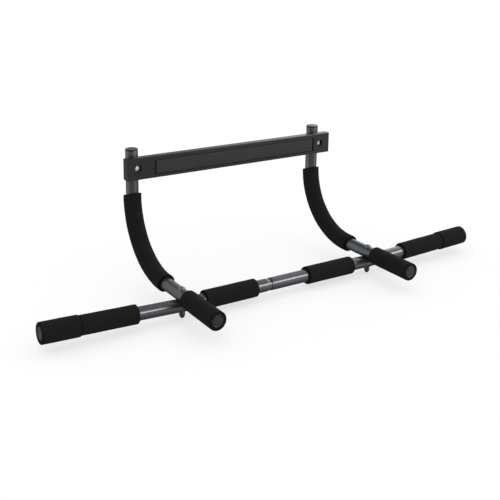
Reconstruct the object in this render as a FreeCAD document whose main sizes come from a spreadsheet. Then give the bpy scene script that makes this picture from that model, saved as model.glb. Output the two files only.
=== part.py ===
"""Doorway pull up bar: a two-piece main bar, two curved arms with handles and a padded crossbar.

Millimetres. +X runs along the main bar to the user's right, -Y points at the user and +Z is up.
The origin is on the wall pad's outer face, midway between the arms and at the pad's mid height.
"""
import FreeCAD
import Part
import Sketcher

import math
import os

# name, value in millimetres (or degrees where it says so), meaning
SIZES = [
    ("tube_dia", 25.4, "outside diameter of every tube"),
    ("bar_wall", 1, "wall of the main bar tubes"),
    ("arm_wall", 1.5, "wall of the arm tubes"),
    ("bar_back", 176, "main bar axis in front of the wall pad face"),
    ("bar_drop", 217, "main bar axis below the wall pad centre"),
    ("bar_half", 495.5, "half length of the main bar, along its axis"),
    ("arm_offset", 222, "arm centre plane from the middle, where the bar also bends"),
    ("wing_rise", 2.1, "degrees by which each end of the bar rises"),
    ("wing_radius", 300, "radius of that bend"),
    ("socket_mouth", 27, "socket mouth of the right tube, left of the middle"),
    ("spigot_start", 30, "start of the reduced end of the left tube"),
    ("spigot_taper", 6, "length of the taper down to it"),
    ("spigot_tip", 40, "reach of the reduced end past the middle"),
    ("spigot_dia", 22.8, "outside diameter of the reduced end"),
    ("arm_rise", 20, "arm axis above the bar axis where they cross"),
    ("arm_back", 31.2, "upright part of the arm behind the pad face"),
    ("arm_top", 36.3, "top of the arm cap above the pad centre"),
    ("arm_bend", 137, "centre line radius of the arm's bend"),
    ("handle_reach", 129.5, "handle end in front of the bar axis"),
    ("foam_dia", 36.2, "outside diameter of the foam grips"),
    ("end_foam_dia", 39.2, "outside diameter of the thick end sleeves"),
    ("end_foam_len", 70.5, "length of the thick end sleeves"),
    ("outer_foam_start", 93, "outer grip from the bend, along the bar"),
    ("inner_foam_in", 61, "inner grip, end nearer the middle"),
    ("inner_foam_out", 175.5, "inner grip, end nearer the arm"),
    ("handle_foam_start", 23, "handle grip from the bar axis"),
    ("sleeve_top", 96, "arm sleeve below the top of the arm"),
    ("sleeve_end", 60, "arm sleeve's lower end behind the bar axis"),
    ("beam_len", 492, "length of the crossbar"),
    ("beam_high", 44.2, "height of the crossbar"),
    ("beam_deep", 18, "depth of the crossbar"),
    ("beam_low", 21, "lower edge of the crossbar below the pad centre"),
    ("beam_edge", 1.2, "rounding of the crossbar's long front edges"),
    ("beam_back_edge", 4, "rounding of its long back edges"),
    ("pad_left", 183, "left end of the pad from the middle"),
    ("pad_right", 201, "right end of the pad from the middle"),
    ("pad_high", 28, "height of the pad"),
    ("pad_thick", 3.5, "thickness of the pad"),
    ("pad_proud", 0.5, "pad face in front of the crossbar face"),
    ("pad_gap", 0.8, "groove above and below the pad"),
    ("pad_end_gap", 3.5, "groove at each end of the pad"),
    ("bolt_dia", 6, "M6 bolts"),
    ("bolt_hole", 6.5, "clearance holes for them"),
    ("head_dia", 13, "diameter of a domed bolt head"),
    ("head_high", 2.8, "height of a domed bolt head"),
    ("head_pocket", 15, "diameter of the crossbar's head pockets"),
    ("pocket_deep", 8, "depth of the head pockets"),
    ("saddle_thin", 1, "saddle washer at its thinnest"),
    ("top_saddle", 14, "diameter of the washer under a bolt head"),
    ("low_saddle", 12, "diameter of the washer above a dome nut"),
    ("nut_flats", 10, "dome nut across flats"),
    ("nut_hex", 7, "height of the nut's hexagon"),
    ("nut_high", 12, "height of the whole dome nut"),
    ("nut_bore", 9, "depth of the nut's thread"),
    ("cap_flange", 3, "thickness of a tube cap's flange"),
    ("cap_stem", 14, "length of a cap's stem inside the tube"),
    ("cap_round", 1, "rounding of a cap's rim"),
]
SIZE = {name: value for name, value, meaning in SIZES}
SIDES = (("left", -1), ("right", 1))

doc = FreeCAD.newDocument("pull_up_bar")
sheet = doc.addObject("Spreadsheet::Sheet", "sizes")
for row, (name, value, meaning) in enumerate(SIZES, 1):
    sheet.set("A%d" % row, name)
    sheet.set("B%d" % row, str(value))
    sheet.set("C%d" % row, meaning)
    sheet.setAlias("B%d" % row, name)
doc.recompute()

PARTS = {}


def formula(text):
    """The expression with each size name turned into a reference to the sheet."""
    words = []
    for word in text.split():
        words.append("sizes." + word if word in SIZE else word)
    return " ".join(words)


def bind(obj, target, text):
    """Drives one property or constraint of an object from the sheet."""
    obj.setExpression(target, formula(text))


def new_body(node, helper=False):
    """An empty body. A helper body is only a tool for a boolean and isn't written."""
    body = doc.addObject("PartDesign::Body", node)
    body.Label = node
    if not helper:
        PARTS[node] = body
    return body


def plane_of(body, role):
    """One of the body's own origin planes."""
    return next(f for f in body.Origin.OriginFeatures if f.Role == role)


def new_sketch(body, role, name, offset=None):
    """A sketch on an origin plane; offset is its distance along the plane's normal, as a formula."""
    sketch = body.newObject("Sketcher::SketchObject", body.Name + "_" + name)
    sketch.AttachmentSupport = (plane_of(body, role), "")
    sketch.MapMode = "FlatFace"
    if offset is not None:
        bind(sketch, "AttachmentOffset.Base.z", offset)
    return sketch


def fix_point(sketch, index, end, across, up):
    """Fixes a point of the sketch at formulas for its two coordinates."""
    if (across, up) == ("0", "0"):
        sketch.addConstraint(Sketcher.Constraint("Coincident", index, end, -1, 1))
        return
    now = sketch.getPoint(index, end)
    for kind, text, value in (("DistanceX", across, now.x), ("DistanceY", up, now.y)):
        row = sketch.addConstraint(Sketcher.Constraint(kind, -1, 1, index, end, value))
        bind(sketch, "Constraints[%d]" % row, text)


def circle(sketch, radius, across="0", up="0", near=(0, 0)):
    """A circle with formulas for its radius and centre; near is a first guess of the centre."""
    start = FreeCAD.Vector(near[0], near[1], 0)
    index = sketch.addGeometry(Part.Circle(start, FreeCAD.Vector(0, 0, 1), 5))
    row = sketch.addConstraint(Sketcher.Constraint("Radius", index, 5))
    bind(sketch, "Constraints[%d]" % row, radius)
    fix_point(sketch, index, 3, across, up)


def chain(sketch, points, closed=True):
    """Straight lines from point to point, joined at their ends. Returns the lines' indices."""
    ends = points[1:] + points[:1] if closed else points[1:]
    lines = []
    for a, b in zip(points, ends):
        line = Part.LineSegment(FreeCAD.Vector(a[0], a[1], 0), FreeCAD.Vector(b[0], b[1], 0))
        lines.append(sketch.addGeometry(line))
    joints = list(zip(lines, lines[1:]))
    if closed:
        joints.append((lines[-1], lines[0]))
    for first, second in joints:
        sketch.addConstraint(Sketcher.Constraint("Coincident", first, 2, second, 1))
    return lines


def rectangle(sketch, left, low, right, high):
    """An upright rectangle between two corners given as formulas."""
    lines = chain(sketch, [(-9, -9), (9, -9), (9, 9), (-9, 9)])
    for index in (lines[0], lines[2]):
        sketch.addConstraint(Sketcher.Constraint("Horizontal", index))
    for index in (lines[1], lines[3]):
        sketch.addConstraint(Sketcher.Constraint("Vertical", index))
    fix_point(sketch, lines[0], 1, left, low)
    fix_point(sketch, lines[2], 1, right, high)


def hexagon(sketch, flats):
    """A regular hexagon round the origin with a given width across its flats."""
    size = 5 / math.cos(math.radians(30))
    corners = []
    for k in range(6):
        turn = math.radians(60 * k + 30)
        corners.append((size * math.cos(turn), size * math.sin(turn)))
    lines = chain(sketch, corners)
    ring = Part.Circle(FreeCAD.Vector(0, 0, 0), FreeCAD.Vector(0, 0, 1), size)
    ring_index = sketch.addGeometry(ring, True)
    sketch.addConstraint(Sketcher.Constraint("Coincident", ring_index, 3, -1, 1))
    for index in lines:
        sketch.addConstraint(Sketcher.Constraint("PointOnObject", index, 1, ring_index))
    for index in lines[1:]:
        sketch.addConstraint(Sketcher.Constraint("Equal", lines[0], index))
    sketch.addConstraint(Sketcher.Constraint("Horizontal", lines[0]))
    row = sketch.addConstraint(Sketcher.Constraint("Radius", ring_index, size))
    bind(sketch, "Constraints[%d]" % row, "( " + flats + " ) / 2 / cos( 30 deg )")


def feature(body, kind, sketch, length, backwards=False):
    """A Pad or a Pocket of a sketch, with a formula for its length."""
    made = body.newObject("PartDesign::" + kind, sketch.Name + "_" + kind)
    made.Profile = sketch
    made.Reversed = backwards
    bind(made, "Length", length)
    return made


def sweep(body, profile, path, kind="AdditivePipe"):
    """The profile carried along the path, added to the body or taken from it."""
    made = body.newObject("PartDesign::" + kind, profile.Name + "_sweep")
    made.Profile = profile
    made.Spine = (path, [])
    return made


def place(body, base, axis=(0, 0, 1), angle="0"):
    """Puts a sub-part in the object's frame: formulas for its place and its turn in degrees."""
    body.Placement = FreeCAD.Placement(
        FreeCAD.Vector(0, 0, 0), FreeCAD.Rotation(FreeCAD.Vector(*axis), 1)
    )
    for letter, text in zip("xyz", base):
        bind(body, "Placement.Base." + letter, text)
    bind(body, "Placement.Rotation.Angle", "( " + angle + " ) * 1 deg")


def signed(side, text):
    """A formula with the side's sign."""
    return text if side > 0 else "0 - ( " + text + " )"


def bar_frame(body):
    """The middle of the main bar's axis."""
    place(body, ("0", "0 - bar_back", "0 - bar_drop"))


def wing_frame(body, side):
    """The bend in the main bar, with Z out along the rising end."""
    base = (signed(side, "arm_offset"), "0 - bar_back", "0 - bar_drop")
    place(body, base, (0, side, 0), "90 - wing_rise")


def handle_frame(body, side, rise="arm_rise"):
    """The arm's axis over the main bar, with Z forwards along the handle."""
    base = (signed(side, "arm_offset"), "0 - bar_back", "0 - bar_drop + " + rise)
    place(body, base, (1, 0, 0), "90")


def path_with_bend(sketch, points, radius, radius_formula):
    """Two straight lines with a tangent arc between them, through the corner points[1].

    Returns the two lines' indices; their outer ends are still free.
    """
    first, corner, last = [FreeCAD.Vector(x, y, 0) for x, y in points]
    back = (first - corner).normalize()
    on = (last - corner).normalize()
    half = back.getAngle(on) / 2
    cut = radius / math.tan(half)
    start = corner + back * cut
    stop = corner + on * cut
    inwards = (back + on).normalize()
    centre = corner + inwards * (radius / math.sin(half))
    turns = [math.atan2(p.y - centre.y, p.x - centre.x) for p in (start, stop)]
    near, far = 1, 2
    if (turns[1] - turns[0]) % (2 * math.pi) > math.pi:
        turns.reverse()
        near, far = 2, 1
    ring = Part.Circle(centre, FreeCAD.Vector(0, 0, 1), radius)
    line_in = sketch.addGeometry(Part.LineSegment(first, start))
    arc = sketch.addGeometry(Part.ArcOfCircle(ring, turns[0], turns[1]))
    line_out = sketch.addGeometry(Part.LineSegment(stop, last))
    sketch.addConstraint(Sketcher.Constraint("Tangent", line_in, 2, arc, near))
    sketch.addConstraint(Sketcher.Constraint("Tangent", arc, far, line_out, 1))
    row = sketch.addConstraint(Sketcher.Constraint("Radius", arc, radius))
    bind(sketch, "Constraints[%d]" % row, radius_formula)
    return line_in, line_out


# --- the main bar ---------------------------------------------------------------------------


def bar_sweep(name, side, start, start_value, radius):
    """A rod along one half of the main bar: straight to the arm, then rising to the end."""
    body = new_body(name, helper=True)
    wing = SIZE["bar_half"] - SIZE["arm_offset"] - SIZE["cap_flange"]
    rise = math.radians(SIZE["wing_rise"])
    points = [
        (side * start_value, 0),
        (side * SIZE["arm_offset"], 0),
        (side * (SIZE["arm_offset"] + wing * math.cos(rise)), wing * math.sin(rise)),
    ]
    path = new_sketch(body, "XZ_Plane", "path")
    line_in, line_out = path_with_bend(path, points, SIZE["wing_radius"], "wing_radius")
    path.addConstraint(Sketcher.Constraint("Horizontal", line_in))
    wing_text = "( bar_half - arm_offset - cap_flange )"
    along = signed(side, "arm_offset + " + wing_text + " * cos( wing_rise * 1 deg )")
    fix_point(path, line_in, 1, signed(side, start), "0 * tube_dia")
    fix_point(path, line_out, 2, along, wing_text + " * sin( wing_rise * 1 deg )")
    corner = path.addGeometry(Part.Point(FreeCAD.Vector(*points[1], 0)), True)
    fix_point(path, corner, 1, signed(side, "arm_offset"), "0 * tube_dia")
    path.addConstraint(Sketcher.Constraint("PointOnObject", corner, 1, line_out))
    profile = new_sketch(body, "YZ_Plane", "section", signed(side, start))
    circle(profile, radius)
    sweep(body, profile, path)
    return body


def spigot(body, outer, inner_tip):
    """Adds the taper and the reduced end of the left tube to a swept rod."""
    sketch = new_sketch(body, "XZ_Plane", "spigot_half")
    reduced = "( spigot_dia / 2 - ( tube_dia / 2 - ( " + outer + " ) ) )"
    wide = "0 - spigot_start - spigot_taper"
    rows = [
        (wide, "0 * tube_dia", -36, 0),
        (wide, outer, -36, 12),
        ("0 - spigot_start", reduced, -30, 11),
        (inner_tip, reduced, 40, 11),
        (inner_tip, "0 * tube_dia", 40, 0),
    ]
    lines = chain(sketch, [(x, y) for across, up, x, y in rows])
    for index, (across, up, x, y) in zip(lines, rows):
        fix_point(sketch, index, 1, across, up)
    turned = body.newObject("PartDesign::Revolution", body.Name + "_turned")
    turned.Profile = sketch
    turned.ReferenceAxis = (sketch, ["H_Axis"])
    turned.Angle = 360


def rod(name, radius, length, base, axis=(0, 0, 1), angle=0):
    """A plain cylinder for cutting, centred on its middle."""
    made = doc.addObject("Part::Cylinder", name)
    bind(made, "Radius", radius)
    made.Height = length
    turn = FreeCAD.Rotation(FreeCAD.Vector(*axis), angle)
    made.Placement = FreeCAD.Placement(FreeCAD.Vector(0, 0, 0), turn)
    shift = turn.multVec(FreeCAD.Vector(0, 0, -length / 2))
    for letter, text, extra in zip("xyz", base, shift):
        bind(made, "Placement.Base." + letter, "( " + text + " ) + ( %g )" % extra)
    return made


def cut(name, base, tool, node=False):
    """One solid minus another."""
    made = doc.addObject("Part::Cut", name)
    made.Base = base
    made.Tool = tool
    if node:
        made.Label = name
        PARTS[name] = made
    return made


def main_tube(name, side):
    """Half of the main bar, with a pressed seat for the arm and a hole for its bolt."""
    if side > 0:
        start, value = "0 - socket_mouth", -SIZE["socket_mouth"]
    else:
        start, value = "spigot_start + spigot_taper", SIZE["spigot_start"] + SIZE["spigot_taper"]
    outer = bar_sweep(name + "_outside", side, start, value, "tube_dia / 2")
    bore = bar_sweep(name + "_inside", side, start, value, "tube_dia / 2 - bar_wall")
    if side < 0:
        spigot(outer, "tube_dia / 2", "spigot_tip")
        spigot(bore, "tube_dia / 2 - bar_wall", "spigot_tip")
    arm_axis = (signed(side, "arm_offset"), "0", "arm_rise")
    seat = rod(name + "_seat", "tube_dia / 2", 60, arm_axis, (1, 0, 0), 90)
    seat_wall = rod(name + "_seat_wall", "tube_dia / 2 + bar_wall", 60, arm_axis, (1, 0, 0), 90)
    bolt = rod(name + "_bolt", "bolt_hole / 2", 60, (signed(side, "arm_offset"), "0", "0"))
    pressed = cut(name + "_pressed", outer, seat)
    hollow = cut(name + "_hollow", bore, seat_wall)
    shell = cut(name + "_shell", pressed, hollow)
    bar_frame(cut(name, shell, bolt, node=True))


# --- the arms -------------------------------------------------------------------------------


def arm_path(body, top, top_value, end, end_value):
    """The arm's centre line in the frame of the bar: down, round the bend, then forwards."""
    back = SIZE["arm_back"] + SIZE["bar_back"]
    points = [(back, top_value), (back, SIZE["arm_rise"]), (end_value, SIZE["arm_rise"])]
    path = new_sketch(body, "YZ_Plane", "path")
    line_down, line_on = path_with_bend(path, points, SIZE["arm_bend"], "arm_bend")
    path.addConstraint(Sketcher.Constraint("Vertical", line_down))
    path.addConstraint(Sketcher.Constraint("Horizontal", line_on))
    fix_point(path, line_down, 1, "arm_back + bar_back", top)
    fix_point(path, line_on, 2, end, "arm_rise")
    return path


def arm_sweep(name, side, top, top_value, end, end_value, outer, inner):
    """A tube along the arm, with formulas for its two radii."""
    body = new_body(name)
    path = arm_path(body, top, top_value, end, end_value)
    near = (0, SIZE["arm_back"] + SIZE["bar_back"])
    for word, kind, radius in (("outside", "AdditivePipe", outer), ("bore", "SubtractivePipe", inner)):
        section = new_sketch(body, "XY_Plane", word, top)
        circle(section, radius, "0 * tube_dia", "arm_back + bar_back", near)
        sweep(body, section, path, kind)
    place(body, (signed(side, "arm_offset"), "0 - bar_back", "0 - bar_drop"))
    return body


def arm_tube(name, side):
    """The arm's steel tube, with a hole for the bar's bolt and one for the crossbar's."""
    top = "bar_drop + arm_top - cap_flange"
    top_value = SIZE["bar_drop"] + SIZE["arm_top"] - SIZE["cap_flange"]
    end = "cap_flange - handle_reach"
    end_value = SIZE["cap_flange"] - SIZE["handle_reach"]
    wall = "tube_dia / 2 - arm_wall"
    body = arm_sweep(name, side, top, top_value, end, end_value, "tube_dia / 2", wall)
    down = new_sketch(body, "XY_Plane", "bar_bolt", "arm_rise + tube_dia")
    circle(down, "bolt_hole / 2")
    feature(body, "Pocket", down, "2 * tube_dia")
    through = new_sketch(body, "XZ_Plane", "beam_bolt", "tube_dia - arm_back - bar_back")
    height = "bar_drop + beam_high / 2 - beam_low"
    circle(through, "bolt_hole / 2", "0 * tube_dia", height, (0, SIZE["bar_drop"]))
    feature(body, "Pocket", through, "2 * tube_dia")


def arm_sleeve(name, side):
    """The foam sleeve round the bend of the arm."""
    top = "bar_drop + arm_top - sleeve_top"
    top_value = SIZE["bar_drop"] + SIZE["arm_top"] - SIZE["sleeve_top"]
    end, end_value = "sleeve_end * 1", SIZE["sleeve_end"]
    arm_sweep(name, side, top, top_value, end, end_value, "foam_dia / 2", "tube_dia / 2")


# --- foam grips and caps --------------------------------------------------------------------


def foam(name, frame, start, length, outer):
    """A straight foam tube on a steel tube, along Z of the given frame."""
    body = new_body(name)
    ring = new_sketch(body, "XY_Plane", "ring", start)
    circle(ring, outer)
    circle(ring, "tube_dia / 2")
    feature(body, "Pad", ring, length)
    frame(body)


def cap(name, frame, start, wall):
    """A plug with a stem in the tube and a flange with a rounded rim on its end."""
    body = new_body(name)
    rim = new_sketch(body, "XY_Plane", "rim", start)
    circle(rim, "tube_dia / 2")
    flange = feature(body, "Pad", rim, "cap_flange")
    doc.recompute()
    edges = ["Edge%d" % k for k, e in enumerate(flange.Shape.Edges, 1) if is_far(e, flange.Shape)]
    rounded = body.newObject("PartDesign::Fillet", name + "_rounded")
    rounded.Base = (flange, edges)
    bind(rounded, "Radius", "cap_round")
    stem = new_sketch(body, "XY_Plane", "stem", start)
    circle(stem, "tube_dia / 2 - " + wall)
    feature(body, "Pad", stem, "cap_stem", backwards=True)
    frame(body)


def is_far(edge, shape):
    """True for the circle round the face farthest along Z."""
    box = edge.BoundBox
    flat = box.ZMax - box.ZMin < 1e-6
    return flat and abs(box.ZMax - shape.BoundBox.ZMax) < 1e-6


# --- the crossbar ---------------------------------------------------------------------------


def round_long_edges(body, block, word, radius):
    """Rounds the two long edges of the bar that are at its front or at its back."""
    doc.recompute()
    middle = SIZE["beam_deep"] / 2
    names = []
    for number, edge in enumerate(block.Shape.Edges, 1):
        at_back = edge.BoundBox.YMin > middle
        if edge.Length > SIZE["beam_len"] - 1 and at_back == (word == "back"):
            names.append("Edge%d" % number)
    rounded = body.newObject("PartDesign::Fillet", block.Name + "_" + word)
    rounded.Base = (block, names)
    bind(rounded, "Radius", radius)
    return rounded


def crossbar(name):
    """A solid bar with a recess for the pad and two pockets for the bolt heads."""
    body = new_body(name)
    ends = new_sketch(body, "XZ_Plane", "outline", "0 - pad_proud")
    rectangle(ends, "0 - beam_len / 2", "0 - beam_low", "beam_len / 2", "beam_high - beam_low")
    block = feature(body, "Pad", ends, "beam_deep", backwards=True)
    block = round_long_edges(body, block, "back", "beam_back_edge")
    round_long_edges(body, block, "front", "beam_edge")
    recess = new_sketch(body, "XZ_Plane", "recess", "0 - pad_proud")
    rectangle(
        recess,
        "0 - pad_left - pad_end_gap",
        "0 - pad_high / 2 - pad_gap",
        "pad_right + pad_end_gap",
        "pad_high / 2 + pad_gap",
    )
    feature(body, "Pocket", recess, "pad_thick - pad_proud")
    for word, size, depth in (
        ("heads", "head_pocket / 2", "pocket_deep * 1"),
        ("holes", "bolt_hole / 2", "beam_deep + 1"),
    ):
        sketch = new_sketch(body, "XZ_Plane", word, "0 - pad_proud")
        for side_word, side in SIDES:
            near = (side * SIZE["arm_offset"], 1)
            middle = signed(side, "arm_offset")
            circle(sketch, size, middle, "beam_high / 2 - beam_low", near)
        feature(body, "Pocket", sketch, depth)


def wall_pad(name):
    """The flat strip in the crossbar's recess that bears on the wall."""
    body = new_body(name)
    outline = new_sketch(body, "XZ_Plane", "outline")
    rectangle(outline, "0 - pad_left", "0 - pad_high / 2", "pad_right * 1", "pad_high / 2")
    feature(body, "Pad", outline, "pad_thick", backwards=True)


# --- fasteners ------------------------------------------------------------------------------


def domed_bolt(name, frame, seat, length):
    """A bolt with a low dome and a hexagon socket; seat is where its head rests, along Z."""
    body = new_body(name)
    sketch = new_sketch(body, "XZ_Plane", "half")
    top = "( " + seat + " ) + head_high"
    tip = "( " + seat + " ) - ( " + length + " )"
    rows = [
        ("head_dia / 2", seat, 6, 20),
        ("bolt_dia / 2", seat, 3, 20),
        ("bolt_dia / 2", tip, 3, -30),
        ("0 * tube_dia", tip, 0, -30),
        ("0 * tube_dia", top, 0, 23.6),
    ]
    lines = chain(sketch, [(x, y) for across, up, x, y in rows], closed=False)
    for index, (across, up, x, y) in zip(lines, rows):
        fix_point(sketch, index, 1, across, up)
    fix_point(sketch, lines[-1], 2, rows[-1][0], rows[-1][1])
    half, high = SIZE["head_dia"] / 2, SIZE["head_high"]
    radius = (half * half + high * high) / (2 * high)
    centre = FreeCAD.Vector(0, 20 + high - radius, 0)
    low_turn = math.atan2(20 - centre.y, half)
    ball = Part.Circle(centre, FreeCAD.Vector(0, 0, 1), radius)
    dome = sketch.addGeometry(Part.ArcOfCircle(ball, low_turn, math.pi / 2))
    sketch.addConstraint(Sketcher.Constraint("Coincident", dome, 1, lines[0], 1))
    sketch.addConstraint(Sketcher.Constraint("Coincident", dome, 2, lines[-1], 2))
    sketch.addConstraint(Sketcher.Constraint("PointOnObject", dome, 3, -2))
    turned = body.newObject("PartDesign::Revolution", name + "_turned")
    turned.Profile = sketch
    turned.ReferenceAxis = (sketch, ["V_Axis"])
    turned.Angle = 360
    socket = new_sketch(body, "XY_Plane", "socket", top)
    hexagon(socket, "bolt_dia * 2 / 3")
    feature(body, "Pocket", socket, "head_high * 0.6")
    frame(body)


def dome_nut(name, frame, seat):
    """A hexagon with a dome over the end of the bolt; seat is where it starts, along Z."""
    body = new_body(name)
    outline = new_sketch(body, "XY_Plane", "flats", seat)
    hexagon(outline, "nut_flats")
    feature(body, "Pad", outline, "nut_hex")
    neck = new_sketch(body, "XY_Plane", "neck", seat)
    circle(neck, "nut_flats * 0.47")
    tall = feature(body, "Pad", neck, "nut_high")
    doc.recompute()
    edges = ["Edge%d" % k for k, e in enumerate(tall.Shape.Edges, 1) if is_far(e, tall.Shape)]
    rounded = body.newObject("PartDesign::Fillet", name + "_dome")
    rounded.Base = (tall, edges)
    bind(rounded, "Radius", "nut_flats * 0.46")
    thread = new_sketch(body, "XY_Plane", "thread", seat)
    circle(thread, "bolt_dia / 2")
    feature(body, "Pocket", thread, "nut_bore", backwards=True)
    frame(body)


def saddle_washer(name, frame, diameter, along):
    """A washer with a flat outer face and an inner face hollowed to sit on a tube.

    The tube's axis runs through the frame's origin, along the frame's X or Y.
    """
    body = new_body(name)
    disc = new_sketch(body, "XY_Plane", "disc", "tube_dia / 2 + saddle_thin")
    circle(disc, diameter + " / 2")
    circle(disc, "bolt_hole / 2")
    depth = "saddle_thin + tube_dia / 2 - sqrt( tube_dia * tube_dia - " + diameter
    feature(body, "Pad", disc, depth + " * " + diameter + " ) / 2", backwards=True)
    across = "YZ_Plane" if along == "X" else "XZ_Plane"
    hollow = new_sketch(body, across, "hollow", "tube_dia * 1")
    circle(hollow, "tube_dia / 2")
    feature(body, "Pocket", hollow, "2 * tube_dia")
    frame(body)


# --- the whole object -----------------------------------------------------------------------


def bolt_frames(side):
    """Frames for the bolts of one arm: where the arm crosses the bar and where it holds the beam."""
    middle = signed(side, "arm_offset")

    def over_arm(body):
        place(body, (middle, "0 - bar_back", "0 - bar_drop + arm_rise"))

    def under_bar(body):
        place(body, (middle, "0 - bar_back", "0 - bar_drop"), (1, 0, 0), "180")

    def behind_arm(body):
        place(body, (middle, "arm_back", "beam_high / 2 - beam_low"), (1, 0, 0), "0 - 90")

    def before_beam(body):
        place(body, (middle, "arm_back", "beam_high / 2 - beam_low"), (1, 0, 0), "90")

    return over_arm, under_bar, behind_arm, before_beam


def fasteners(word, side):
    """The two bolts of one arm with their washers and nuts."""
    over_arm, under_bar, behind_arm, before_beam = bolt_frames(side)
    outer_face = "tube_dia / 2 + saddle_thin"
    grip = "tube_dia + arm_rise + 2 * saddle_thin + nut_bore * 0.9"
    domed_bolt(word + "_bar_bolt", over_arm, outer_face, grip)
    saddle_washer(word + "_bar_bolt_washer", over_arm, "top_saddle", "Y")
    saddle_washer(word + "_bar_nut_washer", under_bar, "low_saddle", "X")
    dome_nut(word + "_bar_nut", under_bar, outer_face)
    head_seat = "tube_dia / 2 + beam_deep - pocket_deep"
    reach = head_seat + " + " + outer_face + " + nut_bore * 0.9"
    domed_bolt(word + "_crossbar_bolt", before_beam, head_seat, reach)
    saddle_washer(word + "_crossbar_washer", behind_arm, "top_saddle", "Y")
    dome_nut(word + "_crossbar_nut", behind_arm, outer_face)


def one_side(word, side):
    """Everything that comes once on each side."""

    def on_wing(body):
        wing_frame(body, side)

    def on_bar(body):
        place(body, ("0", "0 - bar_back", "0 - bar_drop"), (0, side, 0), "90")

    def on_handle(body):
        handle_frame(body, side)

    def on_top(body):
        place(body, (signed(side, "arm_offset"), "arm_back * 1", "arm_top - cap_flange"))

    main_tube(word + "_main_tube", side)
    arm_tube(word + "_arm_tube", side)
    arm_sleeve(word + "_arm_sleeve", side)
    wing = "bar_half - arm_offset"
    thin = wing + " - end_foam_len - outer_foam_start"
    foam(word + "_outer_grip", on_wing, "outer_foam_start * 1", thin, "foam_dia / 2")
    end = wing + " - end_foam_len"
    foam(word + "_end_sleeve", on_wing, end, "end_foam_len", "end_foam_dia / 2")
    long = "inner_foam_out - inner_foam_in"
    foam(word + "_inner_grip", on_bar, "inner_foam_in * 1", long, "foam_dia / 2")
    held = "handle_reach - handle_foam_start"
    foam(word + "_handle_grip", on_handle, "handle_foam_start * 1", held, "foam_dia / 2")
    cap(word + "_bar_cap", on_wing, wing + " - cap_flange", "bar_wall")
    cap(word + "_handle_cap", on_handle, "handle_reach - cap_flange", "arm_wall")
    cap(word + "_arm_cap", on_top, "0 * tube_dia", "arm_wall")
    fasteners(word, side)


def check_and_write():
    """Stops if anything failed; otherwise writes one STEP file for each sub-part."""
    doc.recompute()
    for obj in doc.Objects:
        if "Invalid" in obj.State or "Error" in obj.State:
            raise RuntimeError("%s did not recompute: %s" % (obj.Name, obj.State))
    os.makedirs("parts", exist_ok=True)
    for node, obj in sorted(PARTS.items()):
        shape = obj.Shape
        if shape.isNull() or not shape.isValid() or len(shape.Solids) != 1 or shape.Volume <= 0:
            raise RuntimeError("%s is not one valid solid" % node)
        box = shape.BoundBox
        spans = (box.XMin, box.XMax, box.YMin, box.YMax, box.ZMin, box.ZMax)
        print("%-24s %9.0f mm3  x %7.1f %7.1f  y %7.1f %7.1f  z %7.1f %7.1f" % (
            (node, shape.Volume) + spans))
        shape.exportStep("parts/%s.step" % node)


for side_word, side_sign in SIDES:
    one_side(side_word, side_sign)
crossbar("crossbar")
wall_pad("wall_pad")
check_and_write()
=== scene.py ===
# %% [markdown]
# # A doorway pull up bar
#
# Two steel tubes plug into each other and make the long main bar. Two bent arms cross over it, and their
# front ends are handles. A flat crossbar joins the tops of the arms, and its rubber strip bears on the wall
# above the door. Foam covers every place that a hand or the door frame touches.
#
# The CAD model fixes where everything is. This script starts from it and gives each piece its real surface.

import bmesh
import bpy
import numpy as np
from mathutils import Matrix, Vector


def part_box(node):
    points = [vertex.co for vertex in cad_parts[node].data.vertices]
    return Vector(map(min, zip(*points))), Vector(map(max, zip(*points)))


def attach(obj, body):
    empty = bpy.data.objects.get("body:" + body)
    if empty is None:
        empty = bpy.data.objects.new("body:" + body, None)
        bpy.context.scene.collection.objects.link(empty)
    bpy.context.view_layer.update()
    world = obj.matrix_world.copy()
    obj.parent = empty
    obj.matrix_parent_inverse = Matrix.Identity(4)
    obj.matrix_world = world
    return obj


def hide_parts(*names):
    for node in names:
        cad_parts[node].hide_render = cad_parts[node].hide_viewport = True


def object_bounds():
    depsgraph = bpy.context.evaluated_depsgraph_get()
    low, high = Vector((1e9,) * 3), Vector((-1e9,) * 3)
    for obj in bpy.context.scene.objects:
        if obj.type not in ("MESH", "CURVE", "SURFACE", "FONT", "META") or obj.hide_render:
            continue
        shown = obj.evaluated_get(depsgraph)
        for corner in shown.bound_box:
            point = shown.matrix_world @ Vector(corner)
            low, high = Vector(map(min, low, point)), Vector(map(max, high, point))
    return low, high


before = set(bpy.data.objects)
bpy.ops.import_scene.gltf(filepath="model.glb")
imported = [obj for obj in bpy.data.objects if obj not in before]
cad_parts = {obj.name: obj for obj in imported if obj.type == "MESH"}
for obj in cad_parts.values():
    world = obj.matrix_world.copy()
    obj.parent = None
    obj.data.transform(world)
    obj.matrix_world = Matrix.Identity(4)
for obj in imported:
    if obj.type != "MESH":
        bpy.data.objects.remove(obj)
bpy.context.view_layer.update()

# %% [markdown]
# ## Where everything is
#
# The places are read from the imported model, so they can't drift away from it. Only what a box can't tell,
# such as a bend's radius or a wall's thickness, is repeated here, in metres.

MM = 0.001
SIDES = (("left", -1), ("right", 1))


def middle_of(node):
    """The middle of a CAD node's box, as an array."""
    low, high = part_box(node)
    return (np.array(low) + np.array(high)) / 2


bar_middle = np.array([0, *middle_of("right_inner_grip")[1:]])
arm_offset = middle_of("right_arm_cap")[0]
arm_depth = middle_of("right_arm_cap")[1]
handle_height = middle_of("right_handle_cap")[2]
tube_radius = (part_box("right_arm_cap")[1].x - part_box("right_arm_cap")[0].x) / 2
foam_radius = (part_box("right_inner_grip")[1].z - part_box("right_inner_grip")[0].z) / 2
arm_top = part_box("right_arm_tube")[1].z
handle_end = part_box("right_arm_tube")[0].y
arm_rise = handle_height - bar_middle[2]

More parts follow.
